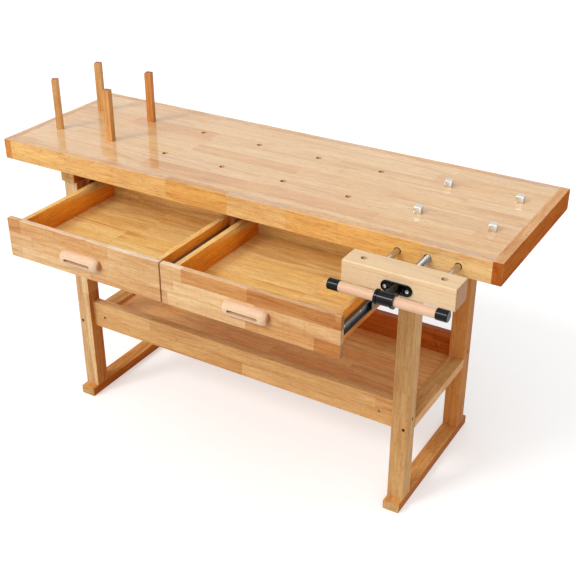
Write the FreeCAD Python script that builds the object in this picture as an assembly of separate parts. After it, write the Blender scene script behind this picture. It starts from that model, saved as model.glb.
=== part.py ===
"""Wooden workbench with two drawers, a shelf, a front vise, pegs and bench dogs."""
import FreeCAD, Part
import math
import os

Vector = FreeCAD.Vector

# Directions of the bench: x to the right, y to the back, z up
RIGHT = Vector(1, 0, 0)
BACK = Vector(0, 1, 0)
UP = Vector(0, 0, 1)
SIDES = {"left": -1, "right": 1}

# Worktop: a glued panel framed by two aprons and two end caps
bench_height = 813.0
top_length = 1524.0
top_depth = 490.0
top_edge_height = 59.0
top_edge_thickness = 25.0
top_panel_thickness = 20.0
top_edge_round = 2.0

# Trestles: foot beam, two legs, top beam and flat side rail, all of one stock width
top_overhang = 207.0
beam_width = 47.0
beam_height = 28.0
foot_length = 474.0
foot_front_reach = 11.0
foot_toe = 24.0
leg_depth = 46.0
top_beam_set_in = 4.0
side_rail_bottom = 241.0
frame_edge_round = 2.0
tenon_width = 16.0
tenon_depth = 28.0
tenon_length = 18.0
joint_gap = 0.1

# Long rails and the shelf that slides in their grooves
rail_bottom = 244.0
rail_height = 84.0
rail_thickness = 26.0
rail_set_back = 16.0
shelf_thickness = 9.0
shelf_lip = 5.0
shelf_groove_depth = 8.0

# Bolts through the legs, each drawn up by a barrel nut in the rail
bolt_diameter = 6.0
bolt_head_diameter = 9.0
bolt_head_height = 5.0
bolt_sink = 8.0
bolt_tail = 9.0
barrel_nut_diameter = 10.0
barrel_nut_inset = 42.0
barrel_nut_end_gap = 4.0
rail_bolt_height = 38.0
side_bolt_height = 18.0
side_bolt_inset = 12.0
bolt_hole_clearance = 0.3
thread_clearance = 0.05

# Wood screws of one size hold the worktop, the hangers and the nut plate
wood_screw_diameter = 5.0
wood_screw_length = 30.0
wood_screw_head_diameter = 9.0
wood_screw_head_height = 3.0
top_screw_sink = 18.0

# Hanger boards that carry the drawer runners
hanger_thickness = 15.0
hanger_front_lap = 33.0
hanger_height = 101.0
hanger_groove_depth = 6.0
hanger_screw_drops = (20.0, 45.0)

# Drawer runners: three nested steel channels a side
runner_length = 350.0
runner_height = 35.0
runner_space = 12.7
runner_sheet = 1.2
runner_gap = 0.3
runner_outer_reach = 10.0
runner_front_gap = 2.0

# Drawers, pulled out as they stand at rest
drawer_open = 300.0
drawer_front_gap = 22.0
drawer_front_height = 111.0
drawer_front_thickness = 15.0
drawer_front_lap = 5.0
drawer_front_round = 2.0
drawer_stop_gap = 0.5
drawer_wall_thickness = 15.0
drawer_wall_height = 80.0
drawer_wall_drop = 13.0
drawer_box_length = 390.0
drawer_floor_thickness = 6.0
drawer_floor_lift = 10.0
drawer_groove_depth = 6.0

# Wooden drawer pulls with a finger slot
pull_length = 130.0
pull_height = 39.0
pull_depth = 22.0
pull_edge_depth = 8.0
pull_drop = 5.0
pull_slot_length = 84.0
pull_slot_height = 9.0
pull_slot_depth = 14.0
pull_slot_drop = 1.5

# Front vise: jaw, guide rods, screw, nut plate behind the apron and a tie plate
vise_end_inset = 183.0
vise_axis_drop = 35.0
jaw_length = 280.0
jaw_thickness = 65.0
jaw_height = 56.0
jaw_opening = 100.0
jaw_round = 4.0
guide_rod_diameter = 16.0
guide_rod_spread = 154.0
guide_rod_seat = 40.0
rod_tail = 189.0
screw_diameter = 18.0
screw_root_diameter = 14.0
screw_pitch = 5.0
screw_end_margin = 3.0
running_clearance = 0.05
apron_hole_clearance = 1.5
jaw_screw_clearance = 0.5
nut_plate_length = 210.0
nut_plate_height = 28.0
nut_plate_thickness = 8.0
nut_boss_diameter = 24.0
nut_boss_length = 26.0
nut_screw_spread = 76.0
tie_plate_length = 190.0
tie_plate_height = 26.0
tie_plate_thickness = 5.0

# Vise handle: flange on the jaw, hub on the screw and a sliding wooden bar with caps
flange_length = 77.0
flange_height = 29.0
flange_thickness = 4.0
flange_screw_spread = 54.0
flange_screw_diameter = 4.5
flange_screw_length = 26.0
flange_screw_head_diameter = 9.0
flange_screw_head_height = 2.5
hub_reach = 52.0
hub_length = 46.0
hub_diameter = 32.0
hub_rim_diameter = 36.0
hub_rim_length = 6.0
hub_neck_diameter = 26.0
hub_socket_depth = 30.0
hub_flange_gap = 0.5
bar_diameter = 24.0
bar_total_length = 288.0
bar_rest_slide = 4.0
bar_clearance = 0.3
bar_cap_diameter = 27.0
bar_cap_length = 28.0
bar_cap_socket = 20.0
bar_cap_round = 2.0

# Pegs and bench dogs stand in one pattern of round holes; each peg and dog has its own turn
dog_hole_diameter = 16.0
dog_shank_diameter = 15.4
dog_end_inset = 83.0
dog_row_pitch = 194.0
dog_rows_each_half = 4
dog_column_spread = 191.0
jaw_hole_spread = 196.0
peg_side = 19.5
peg_height = 152.0
peg_shank_length = 34.0
peg_chamfer = 1.5
dog_side = 19.0
dog_head_height = 19.0
dog_shank_length = 18.0
dog_chamfer = 1.0
peg_turns = {"outer_front": 36.0, "outer_back": 20.0, "inner_front": 8.0, "inner_back": 14.0}
dog_turns = {"outer_front": 10.0, "outer_back": 4.0, "inner_front": 6.0, "inner_back": 8.0}

# Thread form of the vise screw, as shares of its pitch
crest_share = 0.35
flank_share = 0.15
# Two directions count as parallel above this cosine
parallel_share = 0.99
# Points closer than this lie on one face
same_place = 0.001

# Levels and faces that several pieces share
top_surface = bench_height
top_underside = bench_height - top_edge_height
panel_underside = bench_height - top_panel_thickness
top_end = top_length / 2
top_face = top_depth / 2
apron_inner = top_face - top_edge_thickness
dog_row_outer = top_end - dog_end_inset
dog_row_inner = dog_row_outer - dog_row_pitch
leg_outer = top_end - top_overhang
leg_inner = leg_outer - beam_width
leg_middle = (leg_outer + leg_inner) / 2
foot_front = -top_face - foot_front_reach
foot_back = foot_front + foot_length
leg_fronts = {"front": foot_front + foot_toe, "back": foot_back - foot_toe - leg_depth}
leg_top = top_underside - beam_height
rail_top = rail_bottom + rail_height
shelf_bottom = rail_bottom + shelf_lip
hanger_bottom = top_underside - hanger_height
hanger_front = leg_fronts["front"] + hanger_front_lap
hanger_back = leg_fronts["back"] + leg_depth
bay_inner = hanger_thickness / 2
bay_outer = leg_inner - hanger_thickness
drawer_front_top = top_underside - drawer_front_gap
drawer_front_bottom = drawer_front_top - drawer_front_height
drawer_back_face = hanger_front - drawer_stop_gap - drawer_open
drawer_face = drawer_back_face - drawer_front_thickness
wall_top = drawer_front_top - drawer_wall_drop
wall_bottom = wall_top - drawer_wall_height
wall_inner = bay_inner + runner_space
wall_outer = bay_outer - runner_space
wall_back = drawer_back_face + drawer_box_length
floor_bottom = wall_bottom + drawer_floor_lift
vise_place = top_end - vise_end_inset
vise_axis = top_surface - vise_axis_drop
jaw_back = -top_face - jaw_opening
jaw_front = jaw_back - jaw_thickness
flange_front = jaw_front - flange_thickness
bar_line = flange_front - hub_reach
rod_end = -top_face + rod_tail


def block(x_span, y_span, z_span):
    """Box between two limits on each axis, in either order."""
    low = Vector(min(x_span), min(y_span), min(z_span))
    size = Vector(max(x_span), max(y_span), max(z_span)) - low
    return Part.makeBox(size.x, size.y, size.z, low)


def cylinder(diameter, start, end):
    """Round bar between two points."""
    return Part.makeCylinder(diameter / 2, (end - start).Length, start, end - start)


def ease(shape, radius, along, side=None):
    """Round the straight edges that run along a direction, on one face only if a side is given."""
    chosen = []
    for edge in shape.Edges:
        if not isinstance(edge.Curve, Part.Line):
            continue
        if abs(edge.tangentAt(edge.FirstParameter).dot(along)) < parallel_share:
            continue
        chosen.append(edge)
    if side is not None:
        reach = max(edge.CenterOfMass.dot(side) for edge in chosen)
        chosen = [edge for edge in chosen if reach - edge.CenterOfMass.dot(side) < same_place]
    return shape.makeFillet(radius, chosen)


def stadium(length, height, x, z, y_span):
    """Plate with round ends, lying in the x-z plane and thick along y."""
    straight = (length - height) / 2
    plate = block((x - straight, x + straight), y_span, (z - height / 2, z + height / 2))
    for end in (x - straight, x + straight):
        plate = plate.fuse(cylinder(height, Vector(end, min(y_span), z), Vector(end, max(y_span), z)))
    return plate.removeSplitter()


def screw_with_head(diameter, length, head_diameter, head_height, seat, inward):
    """Plain screw whose head sits outside its seat and whose shank runs inward."""
    shank = cylinder(diameter, seat, seat + inward * length)
    head = cylinder(head_diameter, seat - inward * head_height, seat)
    return head.fuse(shank).removeSplitter()


def wood_screw(seat, inward):
    """One of the wood screws that the bench uses throughout."""
    return screw_with_head(wood_screw_diameter, wood_screw_length, wood_screw_head_diameter,
                           wood_screw_head_height, seat, inward)


def screw_hole(seat, inward, sink):
    """Pilot hole for a wood screw, with a wider sink for its head."""
    pilot = cylinder(wood_screw_diameter + 2 * thread_clearance, seat,
                     seat + inward * (wood_screw_length + thread_clearance))
    if not sink:
        return pilot
    room = cylinder(wood_screw_head_diameter + 2 * bolt_hole_clearance, seat - inward * sink, seat)
    return pilot.fuse(room)


def bolt_seat_holes(seat, inward, length):
    """Hole for a rail bolt with the sink that hides its head in the leg."""
    shank = cylinder(bolt_diameter + 2 * bolt_hole_clearance, seat, seat + inward * length)
    sink = cylinder(bolt_head_diameter + 2 * bolt_hole_clearance, seat - inward * bolt_sink, seat)
    return shank.fuse(sink)


def barrel_nut(centre, along, length, bolt_axis):
    """Cross dowel nut with its bolt hole."""
    body = cylinder(barrel_nut_diameter, centre - along * length / 2, centre + along * length / 2)
    reach = bolt_axis * barrel_nut_diameter
    return body.cut(cylinder(bolt_diameter + 2 * thread_clearance, centre - reach, centre + reach))


parts = {}
wood_screws = []
wood_screw_cuts = {}
frame_bolts = []
barrel_nuts = []


def drive_wood_screw(seat, inward, sink, through):
    """Add one wood screw and remember its hole for each piece that it passes through."""
    wood_screws.append(wood_screw(seat, inward))
    for name in through:
        wood_screw_cuts.setdefault(name, []).append(screw_hole(seat, inward, sink))


def make_worktop():
    """Panel, aprons and end caps, flush on top, with a hollow underneath for the vise."""
    inner_end = top_end - top_edge_thickness
    panel = block((-inner_end, inner_end), (-apron_inner, apron_inner), (panel_underside, top_surface))
    for step in range(dog_rows_each_half):
        row = dog_row_outer - step * dog_row_pitch
        for x in (-row, row):
            for y in (-dog_column_spread / 2, dog_column_spread / 2):
                panel = panel.cut(cylinder(dog_hole_diameter, Vector(x, y, panel_underside),
                                           Vector(x, y, top_surface)))
    groove = block((-bay_inner - joint_gap, bay_inner + joint_gap), (hanger_front, hanger_back),
                   (panel_underside, panel_underside + hanger_groove_depth))
    parts["top_panel"] = panel.cut(groove)
    for name, side in (("front_apron", -1), ("back_apron", 1)):
        apron = block((-inner_end, inner_end), (side * apron_inner, side * top_face),
                      (top_underside, top_surface))
        parts[name] = ease(apron, top_edge_round, RIGHT, BACK * side)
    for name, side in SIDES.items():
        cap = block((side * inner_end, side * top_end), (-top_face, top_face), (top_underside, top_surface))
        cap = ease(cap, top_edge_round, BACK, RIGHT * side)
        parts[name + "_end_cap"] = ease(cap, top_edge_round, UP, RIGHT * side)


def tenon(side, y_middle, z_span, gap):
    """Stub tenon on a leg end, or its mortise when a gap is given."""
    half_width = tenon_width / 2 + gap
    half_depth = tenon_depth / 2 + gap
    return block((side * leg_middle - half_width, side * leg_middle + half_width),
                 (y_middle - half_depth, y_middle + half_depth), z_span)


def make_trestle(name, side):
    """One end frame: foot beam, legs with stub tenons, top beam and flat side rail."""
    stock = (side * leg_inner, side * leg_outer)
    foot = ease(block(stock, (foot_front, foot_back), (0, beam_height)), frame_edge_round, BACK)
    top_beam_end = top_face - top_beam_set_in
    beam = block(stock, (-top_beam_end, top_beam_end), (leg_top, top_underside))
    beam = ease(beam, frame_edge_round, BACK, UP * -1)
    for place, front in leg_fronts.items():
        middle = front + leg_depth / 2
        leg = ease(block(stock, (front, front + leg_depth), (beam_height, leg_top)), frame_edge_round, UP)
        foot_tenon = tenon(side, middle, (beam_height - tenon_length, beam_height), 0)
        beam_tenon = tenon(side, middle, (leg_top, leg_top + tenon_length), 0)
        parts[name + "_" + place + "_leg"] = leg.fuse([foot_tenon, beam_tenon]).removeSplitter()
        mortise_end = tenon_length + joint_gap
        foot = foot.cut(tenon(side, middle, (beam_height - mortise_end, beam_height), joint_gap))
        beam = beam.cut(tenon(side, middle, (leg_top, leg_top + mortise_end), joint_gap))
    parts[name + "_foot_beam"] = foot
    parts[name + "_top_beam"] = beam
    rail = block(stock, (leg_fronts["front"] + leg_depth, leg_fronts["back"]),
                 (side_rail_bottom, side_rail_bottom + beam_height))
    parts[name + "_side_rail"] = ease(rail, frame_edge_round, BACK)
    for apron_name, apron_side in (("front_apron", -1), ("back_apron", 1)):
        seat = Vector(side * leg_middle, apron_side * (top_face + apron_inner) / 2, leg_top + top_screw_sink)
        drive_wood_screw(seat, UP, top_screw_sink, (name + "_top_beam", apron_name))


def make_rails_and_shelf():
    """Two grooved long rails between the trestles, with the shelf panel in the grooves."""
    rail_fronts = {place: front + rail_set_back for place, front in leg_fronts.items()}
    shelf_span = (rail_fronts["front"] + rail_thickness - shelf_groove_depth,
                  rail_fronts["back"] + shelf_groove_depth)
    for place, front in rail_fronts.items():
        rail = block((-leg_inner, leg_inner), (front, front + rail_thickness), (rail_bottom, rail_top))
        rail = ease(rail, frame_edge_round, RIGHT)
        groove = block((-leg_inner, leg_inner), (shelf_span[0] - joint_gap, shelf_span[1] + joint_gap),
                       (shelf_bottom, shelf_bottom + shelf_thickness + joint_gap))
        parts[place + "_rail"] = rail.cut(groove)
    parts["shelf_panel"] = block((joint_gap - leg_inner, leg_inner - joint_gap), shelf_span,
                                 (shelf_bottom, shelf_bottom + shelf_thickness))


def bolt_long_rail(name, side, place):
    """Bolt through a leg's outer face into the barrel nut of a long rail."""
    front = leg_fronts[place] + rail_set_back
    line = Vector(0, front + rail_thickness / 2, rail_bottom + rail_bolt_height)
    seat = line + RIGHT * side * (leg_outer - bolt_sink)
    nut_centre = line + RIGHT * side * (leg_inner - barrel_nut_inset)
    inward = RIGHT * -side
    length = (seat - nut_centre).Length + bolt_tail
    frame_bolts.append(screw_with_head(bolt_diameter, length, bolt_head_diameter, bolt_head_height,
                                       seat, inward))
    barrel_nuts.append(barrel_nut(nut_centre, BACK, rail_thickness - 2 * barrel_nut_end_gap, RIGHT))
    hole = bolt_seat_holes(seat, inward, length + bolt_hole_clearance)
    leg_name = name + "_" + place + "_leg"
    parts[leg_name] = parts[leg_name].cut(hole)
    nut_hole = cylinder(barrel_nut_diameter + 2 * thread_clearance, nut_centre - BACK * rail_thickness,
                        nut_centre + BACK * rail_thickness)
    parts[place + "_rail"] = parts[place + "_rail"].cut(hole.fuse(nut_hole))


def bolt_side_rail(name, side, place):
    """Bolt through a leg's outward face into the barrel nut of a side rail."""
    outward = -1 if place == "front" else 1
    leg_face = leg_fronts[place] if place == "front" else leg_fronts[place] + leg_depth
    line = Vector(side * (leg_outer - side_bolt_inset), 0, side_rail_bottom + side_bolt_height)
    seat = line + BACK * (leg_face - outward * bolt_sink)
    nut_centre = line + BACK * (leg_face - outward * (leg_depth + barrel_nut_inset))
    inward = BACK * -outward
    length = (seat - nut_centre).Length + bolt_tail
    frame_bolts.append(screw_with_head(bolt_diameter, length, bolt_head_diameter, bolt_head_height,
                                       seat, inward))
    nut_room = 2 * min(side_bolt_height, beam_height - side_bolt_height)
    barrel_nuts.append(barrel_nut(nut_centre, UP, nut_room - barrel_nut_end_gap, BACK))
    hole = bolt_seat_holes(seat, inward, length + bolt_hole_clearance)
    leg_name = name + "_" + place + "_leg"
    parts[leg_name] = parts[leg_name].cut(hole)
    nut_hole_end = nut_centre + UP * (nut_room - barrel_nut_end_gap) / 2
    nut_hole = cylinder(barrel_nut_diameter + 2 * thread_clearance, nut_centre - UP * side_bolt_height,
                        nut_hole_end)
    rail_name = name + "_side_rail"
    parts[rail_name] = parts[rail_name].cut(hole.fuse(nut_hole))


def make_hangers():
    """Three boards that carry the runners: two screwed to the legs, one let into the panel."""
    length = (hanger_front, hanger_back)
    for name, side in SIDES.items():
        board = block((side * bay_outer, side * leg_inner), length, (hanger_bottom, top_underside))
        parts[name + "_hanger"] = board
        for place, front in leg_fronts.items():
            overlap = (max(front, hanger_front) + min(front + leg_depth, hanger_back)) / 2
            for drop in hanger_screw_drops:
                seat = Vector(side * (bay_outer + wood_screw_head_height), overlap, leg_top - drop)
                through = (name + "_hanger", name + "_" + place + "_leg")
                drive_wood_screw(seat, RIGHT * side, wood_screw_head_height, through)
    parts["center_hanger"] = block((-bay_inner, bay_inner), length,
                                   (hanger_bottom, panel_underside + hanger_groove_depth))


def channel(hanger_face, towards, web, flange, half_height, y_start):
    """Steel channel of a runner: a web and two flanges, measured from the hanger's face."""
    middle = (wall_top + wall_bottom) / 2
    y_span = (y_start, y_start + runner_length)
    web_x = [hanger_face + towards * reach for reach in web]
    flange_x = [hanger_face + towards * reach for reach in flange]
    section = block(web_x, y_span, (middle - half_height, middle + half_height))
    for edge in (-1, 1):
        outside = middle + edge * half_height
        section = section.fuse(block(flange_x, y_span, (outside, outside - edge * runner_sheet)))
    return section.removeSplitter()


def make_runners(name, side):
    """Outer, middle and inner channels on both sides of one drawer."""
    closed_start = hanger_front + runner_front_gap
    step = runner_sheet + runner_gap
    inner_web = (runner_space - runner_sheet, runner_space)
    sections = {
        "outer": ((0, runner_sheet), (0, runner_outer_reach), runner_height / 2, closed_start),
        "middle": ((step, step + runner_sheet), (step, inner_web[0] - runner_gap),
                   runner_height / 2 - step, closed_start - drawer_open / 2),
        "inner": (inner_web, (2 * step, runner_space), runner_height / 2 - 2 * step,
                  closed_start - drawer_open),
    }
    for level, (web, flange, half_height, y_start) in sections.items():
        pair = [channel(side * bay_inner, side, web, flange, half_height, y_start),
                channel(side * bay_outer, -side, web, flange, half_height, y_start)]
        parts[name + "_drawer_" + level + "_runners"] = Part.makeCompound(pair)


def make_pull(x, z):
    """Pill-shaped wooden pull with a domed front and a finger slot below its middle."""
    half = pull_height / 2
    straight = (pull_length - pull_height) / 2
    crown = pull_depth - pull_edge_depth
    radius = (crown ** 2 + half ** 2) / (2 * crown)
    lean = math.asin(half / radius) / 2
    centre_depth = pull_depth - radius
    between = Vector(0, -centre_depth - radius * math.cos(lean), radius * math.sin(lean))
    top_back = Vector(0, 0, half)
    top_edge = Vector(0, -pull_edge_depth, half)
    crest = Vector(0, -pull_depth, 0)
    low_edge = Vector(0, -pull_edge_depth, -half)
    low_back = Vector(0, 0, -half)
    section = Part.Wire([
        Part.LineSegment(low_back, top_back).toShape(),
        Part.LineSegment(top_back, top_edge).toShape(),
        Part.Arc(top_edge, crest, low_edge).toShape(),
        Part.LineSegment(low_edge, low_back).toShape(),
    ])
    grip = Part.Face(section).extrude(RIGHT * 2 * straight)
    grip.translate(RIGHT * -straight)
    half_section = Part.Wire([
        Part.LineSegment(Vector(), top_back).toShape(),
        Part.LineSegment(top_back, top_edge).toShape(),
        Part.Arc(top_edge, between, crest).toShape(),
        Part.LineSegment(crest, Vector()).toShape(),
    ])
    dome = Part.Face(half_section).revolve(Vector(), BACK, 360)
    for end in (-straight, straight):
        grip = grip.fuse(dome.translated(RIGHT * end))
    slot = stadium(pull_slot_length, pull_slot_height, 0, -pull_slot_drop,
                   (-pull_depth, pull_slot_depth - pull_depth))
    grip = grip.removeSplitter().cut(slot)
    return grip.translated(Vector(x, drawer_face, z))


def make_drawer(name, side):
    """One drawer: front, two sides, back, floor panel in grooves, and its pull."""
    front_x = (side * (bay_inner - drawer_front_lap), side * (bay_outer + drawer_front_lap))
    front = block(front_x, (drawer_face, drawer_back_face), (drawer_front_bottom, drawer_front_top))
    front = ease(front, drawer_front_round, RIGHT, BACK * -1)
    wall_z = (wall_bottom, wall_top)
    wall_y = (drawer_back_face, wall_back)
    inner_face = wall_inner + drawer_wall_thickness
    outer_face = wall_outer - drawer_wall_thickness
    back_face = wall_back - drawer_wall_thickness
    floor_x = (side * (inner_face - drawer_groove_depth), side * (outer_face + drawer_groove_depth))
    floor_y = (drawer_back_face - drawer_groove_depth, back_face + drawer_groove_depth)
    floor_z = (floor_bottom, floor_bottom + drawer_floor_thickness)
    groove = block((min(floor_x) - joint_gap, max(floor_x) + joint_gap),
                   (floor_y[0] - joint_gap, floor_y[1] + joint_gap), (floor_z[0], floor_z[1] + joint_gap))
    inner_wall = block((side * wall_inner, side * inner_face), wall_y, wall_z)
    outer_wall = block((side * outer_face, side * wall_outer), wall_y, wall_z)
    back = block((side * inner_face, side * outer_face), (back_face, wall_back), wall_z)
    drawer = name + "_drawer_"
    parts[drawer + "front"] = front.cut(groove)
    parts[drawer + "inner_side"] = inner_wall.cut(groove)
    parts[drawer + "outer_side"] = outer_wall.cut(groove)
    parts[drawer + "back"] = back.cut(groove)
    parts[drawer + "floor"] = block(floor_x, floor_y, floor_z)
    pull_x = sum(front_x) / len(front_x)
    pull_z = (drawer_front_bottom + drawer_front_top) / 2 - pull_drop
    parts[drawer + "pull"] = make_pull(pull_x, pull_z)


def vise_line(x_offset, y):
    """Point at a depth on the vise axis, or beside it."""
    return Vector(vise_place + x_offset, y, vise_axis)


def make_vise_screw():
    """Screw with a plain front that carries the hub and a thread from the jaw to its end."""
    radius = screw_diameter / 2
    root = screw_root_diameter / 2
    front = flange_front - hub_flange_gap - hub_socket_depth + thread_clearance
    outline = [Vector(0, front, 0), Vector(radius, front, 0)]
    turns = int((rod_end - jaw_back - screw_end_margin) / screw_pitch)
    for turn in range(turns):
        crest_start = jaw_back + turn * screw_pitch
        crest_end = crest_start + crest_share * screw_pitch
        root_start = crest_end + flank_share * screw_pitch
        root_end = crest_start + (1 - flank_share) * screw_pitch
        outline.append(Vector(radius, crest_start, 0))
        outline.append(Vector(radius, crest_end, 0))
        outline.append(Vector(root, root_start, 0))
        outline.append(Vector(root, root_end, 0))
    thread_end = jaw_back + turns * screw_pitch
    outline.append(Vector(radius, thread_end, 0))
    outline.append(Vector(radius, rod_end, 0))
    outline.append(Vector(0, rod_end, 0))
    outline.append(outline[0])
    turned = Part.Face(Part.makePolygon(outline)).revolve(Vector(), BACK, 360)
    return turned.translated(vise_line(0, 0))


def make_vise_slide():
    """Jaw, guide rods and tie plate, and the nut plate that they run in."""
    rod_offsets = (-guide_rod_spread / 2, guide_rod_spread / 2)
    jaw_x = (vise_place - jaw_length / 2, vise_place + jaw_length / 2)
    jaw = block(jaw_x, (jaw_front, jaw_back), (top_surface - jaw_height, top_surface))
    jaw = jaw.makeFillet(jaw_round, jaw.Edges)
    jaw = jaw.cut(cylinder(screw_diameter + 2 * jaw_screw_clearance, vise_line(0, jaw_front),
                           vise_line(0, jaw_back)))
    jaw_middle = (jaw_front + jaw_back) / 2
    for offset in (-jaw_hole_spread / 2, jaw_hole_spread / 2):
        low = Vector(vise_place + offset, jaw_middle, top_surface - jaw_height)
        jaw = jaw.cut(cylinder(dog_hole_diameter, low, low + UP * jaw_height))
    nut_face = -apron_inner
    nut_back = nut_face + nut_plate_thickness
    boss_end = nut_back + nut_boss_length
    nut_plate = block((vise_place - nut_plate_length / 2, vise_place + nut_plate_length / 2),
                      (nut_face, nut_back),
                      (vise_axis - nut_plate_height / 2, vise_axis + nut_plate_height / 2))
    tie_plate = block((vise_place - tie_plate_length / 2, vise_place + tie_plate_length / 2),
                      (rod_end - tie_plate_thickness, rod_end),
                      (vise_axis - tie_plate_height / 2, vise_axis + tie_plate_height / 2))
    apron = parts["front_apron"]
    rods = []
    for offset, diameter in ((rod_offsets[0], guide_rod_diameter), (0, screw_diameter),
                             (rod_offsets[1], guide_rod_diameter)):
        nut_plate = nut_plate.fuse(cylinder(nut_boss_diameter, vise_line(offset, nut_face),
                                            vise_line(offset, boss_end)))
        nut_plate = nut_plate.cut(cylinder(diameter + 2 * running_clearance, vise_line(offset, nut_face),
                                           vise_line(offset, boss_end)))
        apron = apron.cut(cylinder(diameter + 2 * apron_hole_clearance, vise_line(offset, -top_face),
                                   vise_line(offset, -apron_inner)))
    for offset in rod_offsets:
        rod_front = jaw_back - guide_rod_seat
        rods.append(cylinder(guide_rod_diameter, vise_line(offset, rod_front), vise_line(offset, rod_end)))
        seat = cylinder(guide_rod_diameter + 2 * thread_clearance,
                        vise_line(offset, rod_front - thread_clearance), vise_line(offset, rod_end))
        jaw = jaw.cut(seat)
        tie_plate = tie_plate.cut(seat)
    tie_plate = tie_plate.cut(cylinder(screw_diameter + 2 * apron_hole_clearance,
                                       vise_line(0, rod_end - tie_plate_thickness), vise_line(0, rod_end)))
    parts["vise_jaw"] = jaw
    parts["vise_guide_rods"] = Part.makeCompound(rods)
    parts["vise_tie_plate"] = tie_plate
    parts["vise_nut_plate"] = nut_plate.removeSplitter()
    parts["front_apron"] = apron
    for offset in (-nut_screw_spread / 2, nut_screw_spread / 2):
        drive_wood_screw(vise_line(offset, nut_back), BACK * -1, 0, ("vise_nut_plate", "front_apron"))


def make_vise_handle():
    """Flange with its screws, hub on the screw, wooden bar and end caps."""
    flange = stadium(flange_length, flange_height, vise_place, vise_axis, (flange_front, jaw_front))
    flange = flange.cut(cylinder(screw_diameter + 2 * jaw_screw_clearance, vise_line(0, flange_front),
                                 vise_line(0, jaw_front)))
    screws = []
    for offset in (-flange_screw_spread / 2, flange_screw_spread / 2):
        seat = vise_line(offset, flange_front)
        screws.append(screw_with_head(flange_screw_diameter, flange_screw_length, flange_screw_head_diameter,
                                      flange_screw_head_height, seat, BACK))
        hole = cylinder(flange_screw_diameter + 2 * thread_clearance, seat,
                        seat + BACK * (flange_screw_length + thread_clearance))
        flange = flange.cut(hole)
        parts["vise_jaw"] = parts["vise_jaw"].cut(hole)
    parts["vise_flange"] = flange
    parts["vise_flange_screws"] = Part.makeCompound(screws)
    parts["vise_screw"] = make_vise_screw()
    neck_end = flange_front - hub_flange_gap
    hub = cylinder(hub_diameter, vise_line(-hub_length / 2, bar_line), vise_line(hub_length / 2, bar_line))
    for end in (-1, 1):
        outside = end * hub_length / 2
        hub = hub.fuse(cylinder(hub_rim_diameter, vise_line(outside, bar_line),
                                vise_line(outside - end * hub_rim_length, bar_line)))
    hub = hub.fuse(cylinder(hub_neck_diameter, vise_line(0, bar_line), vise_line(0, neck_end)))
    hub = hub.cut(cylinder(bar_diameter + 2 * bar_clearance, vise_line(-hub_length, bar_line),
                           vise_line(hub_length, bar_line)))
    hub = hub.cut(cylinder(screw_diameter + 2 * running_clearance, vise_line(0, neck_end - hub_socket_depth),
                           vise_line(0, neck_end)))
    parts["vise_hub"] = hub.removeSplitter()
    half = bar_total_length / 2
    bar_half = half - bar_cap_length + bar_cap_socket
    parts["vise_bar"] = cylinder(bar_diameter, vise_line(bar_rest_slide - bar_half, bar_line),
                                 vise_line(bar_rest_slide + bar_half, bar_line))
    caps = []
    for end in (-1, 1):
        outside = vise_line(bar_rest_slide + end * half, bar_line)
        mouth = vise_line(bar_rest_slide + end * (half - bar_cap_length), bar_line)
        cap = cylinder(bar_cap_diameter, mouth, outside)
        rims = [edge for edge in cap.Edges if isinstance(edge.Curve, Part.Circle)]
        cap = cap.makeFillet(bar_cap_round, rims)
        socket = cylinder(bar_diameter + 2 * thread_clearance, mouth,
                          vise_line(bar_rest_slide + end * bar_half, bar_line))
        caps.append(cap.cut(socket))
    parts["vise_bar_caps"] = Part.makeCompound(caps)


def post(side_length, height, shank_length, chamfer, x, y, turn):
    """Square head with a chamfered top on a round shank, turned about its own upright axis."""
    half = side_length / 2
    head = block((-half, half), (-half, half), (0, height))
    top_edges = [edge for edge in head.Edges if height - edge.CenterOfMass.z < same_place]
    head = head.makeChamfer(chamfer, top_edges)
    shank = cylinder(dog_shank_diameter, UP * -shank_length, Vector())
    body = head.fuse(shank).removeSplitter()
    body.rotate(Vector(), UP, turn)
    return body.translated(Vector(x, y, top_surface))


def make_pegs_and_dogs():
    """Tall wooden pegs on the left and short metal dogs on the right of the worktop."""
    rows = {"inner": dog_row_inner, "outer": dog_row_outer}
    columns = {"front": -dog_column_spread / 2, "back": dog_column_spread / 2}
    for row, x in rows.items():
        for column, y in columns.items():
            place = row + "_" + column
            parts["peg_" + place] = post(peg_side, peg_height, peg_shank_length, peg_chamfer, -x, y,
                                         peg_turns[place])
            parts["dog_" + place] = post(dog_side, dog_head_height, dog_shank_length, dog_chamfer, x, y,
                                         dog_turns[place])


make_worktop()
for side_name, side_sign in SIDES.items():
    make_trestle(side_name, side_sign)
make_rails_and_shelf()
for side_name, side_sign in SIDES.items():
    for leg_place in leg_fronts:
        bolt_long_rail(side_name, side_sign, leg_place)
        bolt_side_rail(side_name, side_sign, leg_place)
make_hangers()
for side_name, side_sign in SIDES.items():
    make_runners(side_name, side_sign)
    make_drawer(side_name, side_sign)
make_vise_slide()
make_vise_handle()
make_pegs_and_dogs()
for piece_name, holes in wood_screw_cuts.items():
    for hole_shape in holes:
        parts[piece_name] = parts[piece_name].cut(hole_shape)
parts["wood_screws"] = Part.makeCompound(wood_screws)
parts["frame_bolts"] = Part.makeCompound(frame_bolts)
parts["barrel_nuts"] = Part.makeCompound(barrel_nuts)

# The origin lies on the floor under the middle of the whole outline
front_reach = min(drawer_face - pull_depth, bar_line - bar_cap_diameter / 2)
back_reach = max(top_face, foot_back)
to_origin = BACK * -(front_reach + back_reach) / 2

os.makedirs("parts", exist_ok=True)
for piece_name, shape in parts.items():
    shape.translated(to_origin).exportStep("parts/" + piece_name + ".step")
print(len(parts), "pieces written, moved back by", round(to_origin.y, 3))
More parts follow.
